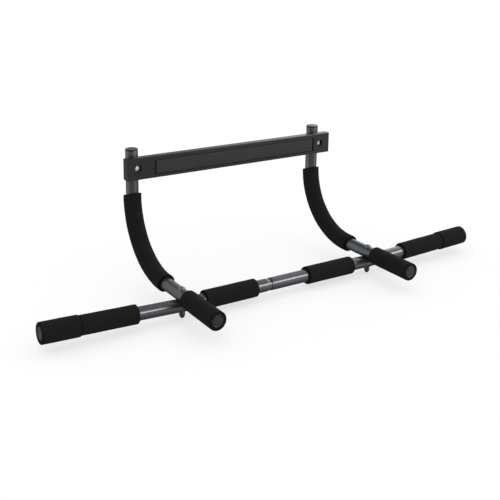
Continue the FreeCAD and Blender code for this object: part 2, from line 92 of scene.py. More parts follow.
BAR_WALL = 1 * MM
ARM_WALL = 1.5 * MM
WING_RISE = np.radians(2.1)
WING_RADIUS = 300 * MM
BAR_HALF = 495.5 * MM
ARM_BEND = 137 * MM
END_FOAM_RADIUS = 19.6 * MM
CAP_FLANGE = 3 * MM
CAP_STEM = 14 * MM
print("bar axis", bar_middle, "arms at", arm_offset, "tube radius", tube_radius)

# %% [markdown]
# ## Lines that the tubes follow
#
# A tube bender leaves two straight runs joined by one arc. One function describes both bends of this
# object: the slight rise of the bar's ends and the quarter turn of the arms. Working it out as a formula
# of the distance along the tube means that a foam sleeve can use the very same line as the tube inside it.


# %% A straight run, an arc and a second run
def bent_line(start, first, towards, straight, radius, angle):
    """A function that gives the centre, direction and inner side of a bent tube at distances along it.

    The turn so far is (distance - straight) / radius, held between 0 and angle. The centre is the start,
    plus the first direction times the straight run used and radius * sin(turn), plus the bend's direction
    times radius * (1 - cos(turn)), plus what is left of the distance along the direction reached.
    """
    start, first, towards = (np.array(v, float) for v in (start, first, towards))

    def at(distance):
        turn = np.clip((distance - straight) / radius, 0, angle)
        ahead = np.minimum(distance, straight) + radius * np.sin(turn)
        aside = radius * (1 - np.cos(turn))
        left_over = np.maximum(distance - straight - radius * angle, 0)
        along = np.outer(np.cos(turn), first) + np.outer(np.sin(turn), towards)
        inward = np.outer(np.cos(turn), towards) - np.outer(np.sin(turn), first)
        centre = start + np.outer(ahead, first) + np.outer(aside, towards) + left_over[:, None] * along
        return centre, along, inward

    return at


def straight_line(start, direction, inward):
    """The same kind of function for a line with no bend."""
    return bent_line(start, direction, inward, 1e3, 1, 0)


wing_corner = WING_RADIUS * np.tan(WING_RISE / 2)
wing_shift = WING_RADIUS * WING_RISE - 2 * wing_corner + arm_offset
arm_straight = arm_top - (handle_height + ARM_BEND)
arm_turned = arm_straight + ARM_BEND * np.pi / 2


def bar_line(side):
    """The main bar's axis from its middle out to one end."""
    return bent_line(bar_middle, (side, 0, 0), (0, 0, 1), arm_offset - wing_corner, WING_RADIUS, WING_RISE)


def arm_line(side):
    """An arm's axis from its top down, round the bend and forwards to the handle's end."""
    top = (side * arm_offset, arm_depth, arm_top)
    return bent_line(top, (0, 0, -1), (0, -1, 0), arm_straight, ARM_BEND, np.pi / 2)


def on_arm(y):
    """The distance along an arm's axis at which its forward run reaches a given y."""
    return arm_turned + (arm_depth - ARM_BEND) - y


arm_length = on_arm(handle_end)
print("an arm's tube is %.0f mm long before it is bent" % (arm_length / MM))

# %% [markdown]
# ## From a section to a closed skin
#
# Nearly every piece here is round about a line, so each one is drawn as half of its section: a list of
# distances along the line and radii. Carrying the section round the line gives a grid of points. A tube's
# section is a closed loop, so its grid closes both ways; a cap's or a bolt's section starts and ends on the
# axis, where the points are welded into one. Modelling with circles and extrusions by hand would give the
# same skins, but a bend or a pressed seat is much easier to add to a grid of numbers.


# %% Carrying a section round a line
TUBE_RING = 96


def carry_round(line, distance, radius, ring):
    """Points at centre(distance) + radius * (inward * cos(angle) + sideways * sin(angle)).

    distance has one entry for each point of the section; radius has the same, or one entry for each point
    and angle where the section isn't round. ring is the number of angles.
    """
    centre, along, inward = line(distance)
    sideways = np.cross(along, inward)
    angle = np.linspace(0, 2 * np.pi, ring, endpoint=False)
    spokes = inward[:, None] * np.cos(angle)[:, None] + sideways[:, None] * np.sin(angle)[:, None]
    radius = np.asarray(radius)
    reach = radius[:, None, None] if radius.ndim == 1 else radius[:, :, None]
    return centre[:, None] + reach * spokes


def corner(centre, radius, start, stop, steps):
    """An arc of a section's outline: pairs of distance and radius, between two angles in degrees."""
    angle = np.radians(np.linspace(start, stop, steps))
    return np.stack([centre[0] + radius * np.cos(angle), centre[1] + radius * np.sin(angle)], 1)


def outline(*stretches):
    """Joins points and arcs of a section, and returns its distances and its radii."""
    rows = np.concatenate([np.atleast_2d(np.asarray(s, float)) for s in stretches])
    return rows[:, 0], rows[:, 1]


# %% Putting a grid of points into Blender
SHARP = np.radians(32)
made = {}


def add_piece(name, points, loop=True):
    """Makes a mesh object of a grid of points that closes round its second direction.

    With loop it closes along its first direction too; without, its first and last rows are poles. Equal
    points are welded, and the faces are turned outwards if the skin's volume came out negative. The faces
    stay in the order of the grid's rows.
    """
    rows, columns = points.shape[:2]
    i, j = np.meshgrid(np.arange(rows if loop else rows - 1), np.arange(columns), indexing="ij")
    below, beside = (i + 1) % rows, (j + 1) % columns
    this_row, next_row = i * columns, below * columns
    quads = np.stack([this_row + j, next_row + j, next_row + beside, this_row + beside], -1)
    mesh = bpy.data.meshes.new(name)
    mesh.from_pydata(points.reshape(-1, 3).tolist(), [], quads.reshape(-1, 4).tolist())
    work = bmesh.new()
    work.from_mesh(mesh)
    bmesh.ops.remove_doubles(work, verts=work.verts, dist=1e-7)
    volume = work.calc_volume(signed=True)
    if volume < 0:
        bmesh.ops.reverse_faces(work, faces=work.faces)
    work.to_mesh(mesh)
    work.free()
    mesh.shade_smooth()
    mesh.set_sharp_from_angle(angle=SHARP)
    piece = bpy.data.objects.new(name, mesh)
    bpy.context.scene.collection.objects.link(piece)
    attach(piece, "root")
    made[name] = piece
    print("%-26s %6d faces %8.2f cm3" % (name, len(mesh.polygons), abs(volume) * 1e6))
    return piece


def stand_for(piece, node):
    """Hides the CAD node that a piece takes the place of, and returns the piece."""
    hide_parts(node)
    return piece


# %% [markdown]
# ## The main bar
#
# The bar comes in two halves, so that it fits in a box. The left half's end is drawn down to a smaller
# diameter and slides into the right half. Where an arm crosses, a press has pushed the top of the tube in,
# so that the round arm sits in a round seat and the bolt can't let it roll. The seat could be cut with a
# boolean, but pressed metal has no sharp edge: here the height of each point is limited by a smooth minimum
# of the tube, a shallow dip and the underside of the arm, and the wall follows its own skin.

# %% The pressed seat
SEAT_REACH = 30 * MM
SEAT_DIP = 3.2 * MM
SEAT_BLEND = 1.6 * MM
SEAT_BULGE = 0.09
SEAT_ZONE = 34 * MM


def smooth_min(a, b, blend):
    """The smaller of two values, less a parabola where they are closer together than blend."""
    near = np.maximum(blend - np.abs(a - b), 0)
    return np.minimum(a, b) - near**2 / (4 * blend)


def press_seat(points, centre, depth):
    """Presses the arm's seat into the top of a tube.

    With x the distance from the arm, the dip's height is the tube's top less SEAT_DIP * (1 + cos(pi x /
    reach)) / 2, and the arm's underside is arm_rise - sqrt(radius^2 - x^2). A point stays below both, less
    its depth in the wall, and the tube's sides bulge by a small share as its top goes down.
    """
    x = np.abs(points[..., 0]) - arm_offset
    near = np.abs(x) < SEAT_REACH
    wave = np.where(near, (1 + np.cos(np.pi * x / SEAT_REACH)) / 2, 0)
    axis = centre[:, None, 2] - bar_middle[2]
    dip = axis + tube_radius - SEAT_DIP * wave
    under_arm = arm_rise - np.sqrt(np.maximum(tube_radius**2 - x**2, 0))
    limit = smooth_min(dip, under_arm, SEAT_BLEND) - depth[:, None]
    height = points[..., 2] - bar_middle[2]
    pressed = points.copy()
    pressed[..., 2] = np.where(near, smooth_min(height, limit, SEAT_BLEND), height) + bar_middle[2]
    pressed[..., 1] = bar_middle[1] + (points[..., 1] - bar_middle[1]) * (1 + SEAT_BULGE * wave)
    return pressed


# %% The two halves
SOCKET_MOUTH = -27 * MM
SPIGOT_TIP = -40 * MM
SPIGOT_START = 30 * MM
SPIGOT_FULL = 36 * MM
SPIGOT_RADIUS = 11.4 * MM
EDGE = 0.4 * MM
bar_end = wing_shift + (BAR_HALF - arm_offset - CAP_FLANGE)


def tube_wall(start, stop, wall, closer=(), spacing=8 * MM, fine=1 * MM):
    """The closed section of a tube's wall: distances and depths below its outer skin.

    Points are spacing apart, and fine apart in the stretches that closer lists. Both ends are rounded.
    """
    coarse = np.linspace(start + EDGE, stop - EDGE, int((stop - start) / spacing) + 2)
    dense = [np.arange(low, high, fine) for low, high in closer]
    along = np.unique(np.round(np.concatenate([coarse, *dense]), 6))
    outside = np.stack([along, 0 * along], 1)
    inside = np.stack([along[::-1], 0 * along + wall], 1)
    far = corner((stop - EDGE, EDGE), EDGE, -90, 0, 4)[1:]
    near = corner((start + EDGE, EDGE), EDGE, 180, 270, 4)[:-1]
    return outline(outside, far, (stop, wall), inside, (start, wall), near)


def ease(value):
    """Goes from 0 to 1 with no kink at either end: 3 v^2 - 2 v^3, with v held between 0 and 1."""
    v = np.clip(value, 0, 1)
    return v * v * (3 - 2 * v)


for word, side in SIDES:
    start = SOCKET_MOUTH if side > 0 else SPIGOT_TIP
    closer = [(arm_offset - SEAT_ZONE, arm_offset + SEAT_ZONE)]
    if side < 0:
        closer.append((SPIGOT_START - 2 * MM, SPIGOT_FULL + 2 * MM))
    distance, depth = tube_wall(start, bar_end, BAR_WALL, closer)
    radius = np.full_like(distance, tube_radius)
    if side < 0:
        drawn_down = 1 - ease((distance - SPIGOT_START) / (SPIGOT_FULL - SPIGOT_START))
        radius = radius - (tube_radius - SPIGOT_RADIUS) * drawn_down
    line = bar_line(side)
    points = press_seat(carry_round(line, distance, radius - depth, TUBE_RING), line(distance)[0], depth)
    stand_for(add_piece(word + "_bar_tube", points), word + "_main_tube")

# %% [markdown]
# ## The arms
#
# Each arm is one tube, bent once through a right angle. Its top is bolted to the crossbar and its front end
# is a handle. The same section function serves, with more points round the bend so that it looks round.

# %% The arm tubes
for word, side in SIDES:
    closer = [(arm_straight, arm_turned)]
    distance, depth = tube_wall(0, arm_length, ARM_WALL, closer, spacing=20 * MM, fine=4 * MM)
    points = carry_round(arm_line(side), distance, tube_radius - depth, TUBE_RING)
    stand_for(add_piece(word + "_arm", points), word + "_arm_tube")

# %% [markdown]
# ## Foam grips and sleeves
#
# The grips are lengths of closed-cell foam hose, pushed on with soapy water. The hose is a little narrower
# inside than the tube, so it stretches and grips, and its cut ends have soft edges. Foam hose is never quite
# round or straight: it keeps a faint wave from being pushed along the tube. A cloth simulation would have
# nothing to do here, because foam holds its shape, so the wave is a few slow sine waves added to the radius.
# Round an arm's bend the hose is too long on the inside and too short on the outside, so its cut ends lean.

# %% Foam sections
FOAM_EDGE = 1.5 * MM
BORE_EDGE = 1 * MM
FOAM_STEP = 2.5 * MM
WAVE = 0.16 * MM
CUT_SHOWS = 1.3 * MM


def foam_section(start, stop, outer):
    """The closed section of a foam hose: round outer edges, and slightly eased edges at the bore."""
    inner = tube_radius
    along = np.linspace(start + FOAM_EDGE, stop - FOAM_EDGE, int((stop - start) / FOAM_STEP))
    skin = np.stack([along, 0 * along + outer], 1)
    bore_along = np.linspace(stop - BORE_EDGE, start + BORE_EDGE, len(along))
    bore = np.stack([bore_along, 0 * along + inner], 1)
    high, low = outer - FOAM_EDGE, inner + BORE_EDGE
    return outline(
        skin,
        corner((stop - FOAM_EDGE, high), FOAM_EDGE, 90, 0, 7)[1:],
        [(stop, (high + low) / 2)],
        corner((stop - BORE_EDGE, low), BORE_EDGE, 0, -90, 3)[:-1],
        bore,
        corner((start + BORE_EDGE, low), BORE_EDGE, 270, 180, 3)[1:],
        [(start, (high + low) / 2)],
        corner((start + FOAM_EDGE, high), FOAM_EDGE, 180, 90, 7)[:-1],
    )


def foam_wave(distance, radius, outer, phase):
    """The section's radii with a faint wave that is nothing at the bore and full on the skin.

    With d the distance in millimetres, the wave is WAVE times the weighted mean of sin(d / 13),
    sin(d / 29 + 2 angle) and 0.6 sin(d / 7 - 3 angle), each moved on by the phase.
    """
    angle = np.linspace(0, 2 * np.pi, TUBE_RING, endpoint=False)
    where = distance[:, None] / MM
    wave = np.sin(where / 13 + phase) + np.sin(where / 29 + 2 * angle + phase)
    wave = wave + 0.6 * np.sin(where / 7 - 3 * angle + 2 * phase)
    share = ease((radius - tube_radius) / (outer - tube_radius))
    return radius[:, None] + WAVE * wave / 2.6 * share[:, None]


def lean_ends(points, line, distance, start, stop, lean):
    """Moves points along the line, outwards at the bend's inner side and inwards at its outer side.

    The move is lean * |t|^3 * inner_share, with t from -1 at the start to 1 at the stop, so it dies away
    from the ends. inner_share is how far a point is towards the inner side, in units of the foam's radius;
    a flat cut therefore stays flat. lean has one length for each end.
    """
    centre, along, inward = line(distance)
    offset = points - centre[:, None]
    inner_share = (offset * inward[:, None]).sum(-1) / foam_radius
    half = 2 * (distance - start) / (stop - start) - 1
    push = np.where(half < 0, -lean[0], lean[1]) * np.abs(half) ** 3
    return points + (push[:, None] * inner_share)[..., None] * along[:, None]


def foam_hose(name, node, line, start, stop, outer, phase, lean):
    """A piece of foam hose along a line. Its cut end faces take the second material, a darker foam whose
    colour is painted shade.
    """
    distance, radius = foam_section(start, stop, outer)
    wavy = foam_wave(distance, radius, outer, phase)
    points = lean_ends(carry_round(line, distance, wavy, TUBE_RING), line, distance, start, stop, lean)
    piece = stand_for(add_piece(name, points), node)
    # These rows are the cut end faces; the darker foam they take paints shade on them.
    next_distance = np.roll(distance, -1)
    at_start = np.maximum(distance, next_distance) < start + CUT_SHOWS
    at_stop = np.minimum(distance, next_distance) > stop - CUT_SHOWS
    cut = np.repeat((at_start | at_stop).astype(np.int32), TUBE_RING)
    piece.data.polygons.foreach_set("material_index", cut)
    return piece


# %% Five pieces of foam on each side
OUTER_GRIP = 93 * MM
END_FOAM = 70.5 * MM
SLEEVE_SLID = 2.5 * MM
SLEEVE_LEAN = (5 * MM, 2.5 * MM)
NO_LEAN = (0, 0)
wing_end = bar_end + CAP_FLANGE
sleeve_start = arm_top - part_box("right_arm_sleeve")[1].z
sleeve_stop = on_arm(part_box("right_arm_sleeve")[0].y)
handle_foam = [on_arm(corner_point.y) for corner_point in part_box("right_handle_grip")]
inner_foam = [corner_point.x for corner_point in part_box("right_inner_grip")]

for word, side in SIDES:
    bar, arm = bar_line(side), arm_line(side)
    thin_start, thick_start = wing_shift + OUTER_GRIP, wing_end - END_FOAM
    slid = side * SLEEVE_SLID
    for kind, line, start, stop, outer, lean in (
        ("inner_grip", bar, *inner_foam, foam_radius, NO_LEAN),
        ("outer_grip", bar, thin_start, thick_start, foam_radius, NO_LEAN),
        ("end_sleeve", bar, thick_start, wing_end, END_FOAM_RADIUS, NO_LEAN),
        ("arm_sleeve", arm, sleeve_start + slid, sleeve_stop + slid, foam_radius, SLEEVE_LEAN),
        ("handle_grip", arm, *handle_foam[::-1], foam_radius, NO_LEAN),
    ):
        node = word + "_" + kind
        foam_hose(node + "_foam", node, line, start, stop, outer, phase=10 * stop + side, lean=lean)

# %% [markdown]
# ## End caps
#
# A moulded plug closes each open end: a stem pressed into the tube and a flange as wide as the tube. Its
# face has a rounded rim round a slightly sunk, faintly domed disc, which is how such a plug comes out of a
# mould. The section starts on the axis inside the tube and ends on the axis at the face. The disc is a
# shade lighter than the rim, so its rows of faces take the second material.

# %% The six caps
CAP_RIM = 1.3 * MM
CAP_SUNK = 0.45 * MM
CAP_LIP = 2.4 * MM
CAP_RING = 72
DISC_ROWS = 7


def cap_section(wall):
    """A cap's section from the inner end of its stem to the middle of its face."""
    stem = tube_radius - wall
    face = CAP_FLANGE
    lip = tube_radius - CAP_LIP
    dish = np.linspace(1, 0, 6)
    disc = np.stack([face - CAP_SUNK * (0.35 + 0.65 * dish**2), (lip - 0.6 * MM) * dish], 1)
    return outline(
        [(-CAP_STEM, 0), (-CAP_STEM, stem - 1 * MM), (-CAP_STEM + 1 * MM, stem), (0, stem)],
        [(0, tube_radius - 0.2 * MM), (0.2 * MM, tube_radius)],
        corner((face - CAP_RIM, tube_radius - CAP_RIM), CAP_RIM, 90, 0, 6),
        [(face, lip)],
        disc,
    )


for word, side in SIDES:
    upwards = straight_line((side * arm_offset, arm_depth, arm_top), (0, 0, 1), (0, 1, 0))
    for kind, line, end, wall in (
        ("bar_cap", bar_line(side), bar_end, BAR_WALL),
        ("handle_cap", arm_line(side), arm_length, ARM_WALL),
        ("arm_cap", upwards, 0, ARM_WALL),
    ):
        node = word + "_" + kind
        distance, radius = cap_section(wall)
        points = carry_round(line, distance + end, radius, CAP_RING)
        plug = stand_for(add_piece(node + "_plug", points, loop=False), node)
        from_disc = len(distance) - DISC_ROWS
        is_disc = np.arange(len(plug.data.polygons)) >= from_disc * CAP_RING
        plug.data.polygons.foreach_set("material_index", is_disc.astype(np.int32))

# %% [markdown]
# ## Bolts, nuts and washers
#
# Two bolts hold each arm: one down through the arm and the bar, one back through the crossbar and the arm.
# They have a low round head with a hexagon socket, and end in a dome nut so that nothing sharp is left
# where hands and door frames are. Washers hollowed to the tube's radius spread the load. A hexagon is a
# circle whose radius depends on the angle, so the same grid makes it.

# %% Bolts
BOLT_RADIUS = 3 * MM
BOLT_BEVEL = 0.6 * MM
HEAD_RADIUS = 6.5 * MM
HEAD_HIGH = 2.8 * MM
SOCKET_FLAT = 2 * MM
SOCKET_DEEP = 1.7 * MM
SOCKET_RIM = 1.35 * SOCKET_FLAT
DRILL_POINT = 0.3 * MM
SMALL_EDGE = 0.3 * MM
BOLT_RING = 48


def hexagon_radius(flat, ring):
    """The radius of a hexagon at each angle: flat / cos(angle from the nearest flat's middle)."""
    angle = np.linspace(0, 2 * np.pi, ring, endpoint=False)
    return flat / np.cos((angle + np.pi / 6) % (np.pi / 3) - np.pi / 6)


def bolt_points(line, length):
    """A domed bolt: the line starts under its head and runs out through it, and the shank goes back.

    The dome is part of a ball of radius (r^2 + h^2) / 2h, from the head's radius r to the socket's rim.
    """
    ball = (HEAD_RADIUS**2 + HEAD_HIGH**2) / (2 * HEAD_HIGH)
    low = np.degrees(np.arcsin(HEAD_RADIUS / ball))
    high = np.degrees(np.arcsin(SOCKET_RIM / ball))
    dome = corner((HEAD_HIGH - ball, 0), ball, low, high, 9)
    tip = [(-length, 0), (-length, BOLT_RADIUS - BOLT_BEVEL), (BOLT_BEVEL - length, BOLT_RADIUS)]
    under_head = [(0, BOLT_RADIUS), (0, HEAD_RADIUS - SMALL_EDGE)]
    distance, radius = outline(tip, under_head, dome)
    socket_top = dome[-1, 0]
    grid = np.repeat(radius[:, None], BOLT_RING, 1)
    hexagon = hexagon_radius(SOCKET_FLAT, BOLT_RING)
    grid = np.vstack([grid, hexagon, hexagon, 0 * hexagon])
    socket_floor = HEAD_HIGH - SOCKET_DEEP
    distance = np.append(distance, [socket_top - 0.1 * MM, socket_floor, socket_floor - DRILL_POINT])
    return carry_round(line, distance, grid, BOLT_RING)


# %% Dome nuts and hollowed washers
NUT_FLAT = 5 * MM
NUT_HEX = 7 * MM
NUT_HIGH = 12 * MM
NUT_NECK = 4.7 * MM
NUT_BORE = 9 * MM
WASHER_THIN = 1 * MM
WASHER_RING = 72
BOLT_HOLE = 3.25 * MM


def nut_points(line):
    """A dome nut from its seat outwards: the hexagon's corners are cut by a 30 degree cone."""
    hexagon = hexagon_radius(NUT_FLAT, BOLT_RING)
    round_ring = np.ones(BOLT_RING)
    height = np.linspace(0, NUT_HEX, 9)
    cone = NUT_FLAT + np.minimum(height, NUT_HEX - height) * np.tan(np.radians(60))
    body = np.minimum(hexagon, cone[:, None])
    dome_angle = np.radians(np.linspace(0, 90, 9))
    dome_from = NUT_HIGH - NUT_NECK
    dome = np.stack([dome_from + NUT_NECK * np.sin(dome_angle), NUT_NECK * np.cos(dome_angle)], 1)
    bore = [(NUT_BORE, 0), (NUT_BORE - 1 * MM, BOLT_RADIUS), (SMALL_EDGE, BOLT_RADIUS)]
    mouth = [(0, BOLT_RADIUS + SMALL_EDGE)]
    before, after = outline(bore, mouth), outline([(NUT_HEX, NUT_NECK)], dome)
    grid = np.vstack([np.outer(before[1], round_ring), body, np.outer(after[1], round_ring)])
    return carry_round(line, np.concatenate([before[0], height, after[0]]), grid, BOLT_RING)


def washer_points(line, centre, outer, across):
    """A washer on a tube: its inner face is at the tube's radius, sqrt(radius^2 - offset^2) from its axis.

    centre is a point on the tube's axis, which the line starts from, and across is the direction over it.
    """
    top = tube_radius + WASHER_THIN
    spread = np.concatenate([[BOLT_HOLE, outer - SMALL_EDGE, outer], np.linspace(outer, BOLT_HOLE, 8)])
    distance = np.concatenate([[top, top, top - SMALL_EDGE], np.full(8, tube_radius)])
    points = carry_round(line, distance, spread, WASHER_RING)
    offset = (points - centre) @ np.array(across, float)
    hollow = np.sqrt(tube_radius**2 - offset**2) - tube_radius
    direction = line(np.array([0.0]))[1][0]
    points[3:] = points[3:] + hollow[3:, :, None] * direction
    return points


# %% Fastening both arms
TOP_WASHER = 7 * MM
LOW_WASHER = 6 * MM
for word, side in SIDES:
    crossing = np.array([side * arm_offset, bar_middle[1], bar_middle[2]])
    on_top = crossing + (0, 0, arm_rise)
    behind = np.array([side * arm_offset, arm_depth, middle_of(word + "_crossbar_bolt")[2]])
    seat = tube_radius + WASHER_THIN
    up, down, back, front = ((0, 0, 1), (0, 0, -1), (0, 1, 0), (0, -1, 0))
    long_bolt = on_top[2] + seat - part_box(word + "_bar_bolt")[0].z
    head_top, tip = (corner_point.y for corner_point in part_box(word + "_crossbar_bolt"))
    head_seat = np.array([behind[0], head_top + HEAD_HIGH, behind[2]])
    for kind, slot, points, loop in (
        ("bar_bolt", "fastener",
         bolt_points(straight_line(on_top + (0, 0, seat), up, (1, 0, 0)), long_bolt), False),
        ("bar_nut", "fastener", nut_points(straight_line(crossing - (0, 0, seat), down, (1, 0, 0))), False),
        ("bar_bolt_washer", "fastener",
         washer_points(straight_line(on_top, up, (1, 0, 0)), on_top, TOP_WASHER, (1, 0, 0)), True),
        ("bar_nut_washer", "fastener",
         washer_points(straight_line(crossing, down, (1, 0, 0)), crossing, LOW_WASHER, (0, 1, 0)), True),
        ("crossbar_bolt", "bright_fastener",
         bolt_points(straight_line(head_seat, front, (0, 0, 1)), tip - head_seat[1]), False),
        ("crossbar_nut", "bright_fastener",
         nut_points(straight_line(behind + (0, seat, 0), back, (0, 0, 1))), False),
        ("crossbar_washer", "bright_fastener",
         washer_points(straight_line(behind, back, (1, 0, 0)), behind, TOP_WASHER, (1, 0, 0)), True),
    ):
        stand_for(add_piece(word + "_" + kind + "_part", points, loop), word + "_" + kind)

# %% [markdown]
# ## The rubber strip
#
# The strip that bears on the wall is cut from extruded rubber and glued into the crossbar's recess. Its
# face is very slightly crowned and its edges are soft. It is a rounded rectangle carried along X, which
# shrinks at both ends to round them off.

# %% A crowned strip
STRIP_EDGE = 0.9 * MM
STRIP_CROWN = 0.35 * MM


def strip_points(low, high):
    """A rounded bar between two corners.

    Round the section, a point is the core rectangle's corner or side plus the edge's radius, and the front
    falls back by STRIP_CROWN * (z / half height)^2. Near an end the whole section draws in by
    edge * (1 - sqrt(1 - t^2)), with t from 0 to 1 over the last edge's width.
    """
    half = (high - low) / 2
    middle = (high + low) / 2
    across = np.linspace(-1, 1, 25)
    face = np.stack([across * (half[2] - STRIP_EDGE), -half[1] * np.ones_like(across)], 1)
    turns = []
    for centre_z, centre_y, first in ((1, -1, -90), (1, 1, 0), (-1, 1, 90), (-1, -1, 180)):
        middle_of_corner = (centre_z * (half[2] - STRIP_EDGE), centre_y * (half[1] - STRIP_EDGE))
        turns.append(corner(middle_of_corner, STRIP_EDGE, first, first + 90, 6))
    ring = np.concatenate([face[1:-1], turns[0], turns[1], -face[1:-1], turns[2], turns[3]])
    crown = STRIP_CROWN * (ring[:, 0] / half[2]) ** 2 * (ring[:, 1] < 0)
    t = np.linspace(0, 1, 6)
    ends = half[0] - STRIP_EDGE + STRIP_EDGE * t
    run = np.linspace(-half[0] + STRIP_EDGE, half[0] - STRIP_EDGE, 60)
    along = np.concatenate([-ends[::-1], run[1:-1], ends])
    into_end = np.clip((np.abs(along) - half[0] + STRIP_EDGE) / STRIP_EDGE, 0, 1)
    inset = STRIP_EDGE * (1 - np.sqrt(1 - into_end**2))
    shrink_z, shrink_y = 1 - inset / half[2], 1 - inset / half[1]
    points = np.empty((len(along), len(ring), 3))
    points[..., 0] = middle[0] + along[:, None]
    points[..., 1] = middle[1] + shrink_y[:, None] * (ring[:, 1] + crown)
    points[..., 2] = middle[2] + shrink_z[:, None] * ring[:, 0]
    first, last = points[:1].copy(), points[-1:].copy()
    first[...], last[...] = first.mean(1), last.mean(1)
    return np.concatenate([first, points, last])


strip_box = [np.array(corner_point) for corner_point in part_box("wall_pad")]
strip = stand_for(add_piece("wall_strip", strip_points(*strip_box), loop=False), "wall_pad")

# %% [markdown]
# ## Finishes
#
# A finish is a small network of nodes. Python's own operators can build the arithmetic: a class that wraps
# a socket and adds a Math node for each + or * reads like the formula it stands for. Every pattern is on
# Object coordinates, which are metres here, so the grain has its real size on every piece.


# %% Sockets that can be added and multiplied
class Number:
    """A number, colour or direction that changes from place to place in a network of nodes."""

    def __init__(self, network, socket):
        self.network, self.socket = network, socket

    def maths(self, operation, first, second):
        """A Math node of that operation on two values."""
        return self.network.node("ShaderNodeMath", {"operation": operation}, {0: first, 1: second})

    def __add__(self, other):
        return self.maths("ADD", self, other)

    def __sub__(self, other):
        return self.maths("SUBTRACT", self, other)

    def __rsub__(self, other):
        return self.maths("SUBTRACT", other, self)

    def __mul__(self, other):
        return self.maths("MULTIPLY", self, other)

    __radd__, __rmul__ = __add__, __mul__


class Network:
    """A tree of shader nodes that is being built."""

    def __init__(self, tree):
        self.tree = tree

    def node(self, kind, settings, values, output=0):
        """Adds a node, sets it up, then fills its sockets with values or links them."""
        node = self.tree.nodes.new(kind)
        for word, value in settings.items():
            setattr(node, word, value)
        for socket, value in values.items():
            self.link(node.inputs[socket], value)
        return Number(self, node.outputs[output])

    def link(self, socket, value):
        """Links a socket to a Number, or gives it a plain value."""
        if isinstance(value, Number):
            self.tree.links.new(value.socket, socket)
        else:
            socket.default_value = value


class Finish(Network):
    """A material in the making, with one surface shader."""

    def __init__(self, name, **settings):
        self.material = bpy.data.materials.new(name)
        self.material.use_nodes = True
        super().__init__(self.material.node_tree)
        self.shader = self.tree.nodes["Principled BSDF"]
        for words, value in settings.items():
            self.shader.inputs[words.replace("_", " ")].default_value = value
        self.place = self.node("ShaderNodeTexCoord", {}, {}, "Object")

    def noise(self, size, detail=2.0):
        """A noise from 0 to 1 whose features are about size metres across."""
        values = {"Vector": self.place, "Scale": 1 / size, "Detail": detail}
        return self.node("ShaderNodeTexNoise", {}, values)

    def cells(self, size):
        """The distance to the nearest of many scattered points, about size metres apart."""
        return self.node("ShaderNodeTexVoronoi", {}, {"Vector": self.place, "Scale": 1 / size})

    def between(self, low, high, share):
        """A colour between two, by a share from 0 to 1."""
        values = {"Factor": share, "A": (*low, 1), "B": (*high, 1)}
        mix = self.tree.nodes.new("ShaderNodeMix")
        mix.data_type = "RGBA"
        for socket in mix.inputs:
            if socket.enabled and socket.name in values:
                self.link(socket, values[socket.name])
        return Number(self, next(s for s in mix.outputs if s.enabled))

    def bump(self, height, deep):
        """Makes the surface rise by up to deep metres where height is 1."""
        bumped = self.node("ShaderNodeBump", {}, {"Height": height, "Distance": deep, "Strength": 1.0})
        self.link(self.shader.inputs["Normal"], bumped)

    def feed(self, **values):
        """Links the shader's own sockets."""
        for words, value in values.items():
            self.link(self.shader.inputs[words.replace("_", " ")], value)
        return self.material


# %% [markdown]
# ### Powder coat on the tubes
#
# The tubes are coated in a dark pewter powder with metal flakes. Baked powder flows into a faint orange
# peel, and the flakes make tiny lighter and darker grains. The flakes go into the base colour, and the peel
# into the bump and a little into the roughness.


# %% Pewter powder coat
def powder_coat(name, dark, light):
    """A metallic coat with flakes and orange peel."""
    coat = Finish(name, Metallic=0.85, IOR=1.5)
    flakes = coat.cells(0.5 * MM)
    peel = coat.noise(2.2 * MM)
    drift = coat.noise(60 * MM)
    share = flakes * 0.8 + drift * 0.3
    roughness = 0.25 + peel * 0.05 + drift * 0.05
    coat.bump(peel, 0.015 * MM)
    return coat.feed(Base_Color=coat.between(dark, light, share), Roughness=roughness)


bar_coat = powder_coat("pewter_coat_bar", (0.070, 0.074, 0.080), (0.125, 0.130, 0.138))
arm_coat = powder_coat("pewter_coat_arm", (0.067, 0.075, 0.080), (0.117, 0.128, 0.135))
print("powder coats:", bar_coat.name, arm_coat.name)

# %% [markdown]
# ### Foam, rubber and moulded plastic
#
# Closed-cell foam is nearly black and very matt, with pores under half a millimetre. Rubber is a little
# browner and smoother. The crossbar and the caps are moulded plastic with a fine spark-eroded grain, so
# they look dark face on and silver where they are seen at a low angle.


# %% Black foam
def foam_finish(name, dark, light, deep):
    """Matt black foam with pores and a faint mottle."""
    foam = Finish(name, Roughness=0.9, Specular_IOR_Level=0.12)
    pores = foam.cells(0.55 * MM)
    grain = foam.noise(0.35 * MM, 3)
    mottle = foam.noise(9 * MM)
    foam.bump(pores * 0.7 + grain * 0.6, deep)
    share = mottle * 0.6 + grain * 0.4
    return foam.feed(Base_Color=foam.between((dark,) * 3, (light,) * 3, share))


black_foam = foam_finish("black_foam", 0.0052, 0.0096, 0.09 * MM)
# The cut end faces have deeper pores, which is real, and a darker colour, which is painted shade on the end
# faces.
cut_foam_painted_shade = foam_finish("cut_foam_painted_shade", 0.0022, 0.0048, 0.16 * MM)
print("foam:", black_foam.name, cut_foam_painted_shade.name)


# %% Rubber and plastics
def moulded(name, dark, light, roughness, grain_size, deep, shine):
    """A moulded finish: fine grain in the bump, and a slow mottle in colour and roughness."""
    skin = Finish(name, Specular_IOR_Level=shine)
    grain = skin.noise(grain_size, 3)
    mottle = skin.noise(25 * MM)
    skin.bump(grain, deep)
    colour = skin.between(dark, light, mottle * 0.7 + grain * 0.3)
    return skin.feed(Base_Color=colour, Roughness=roughness + mottle * 0.08 + grain * 0.05)


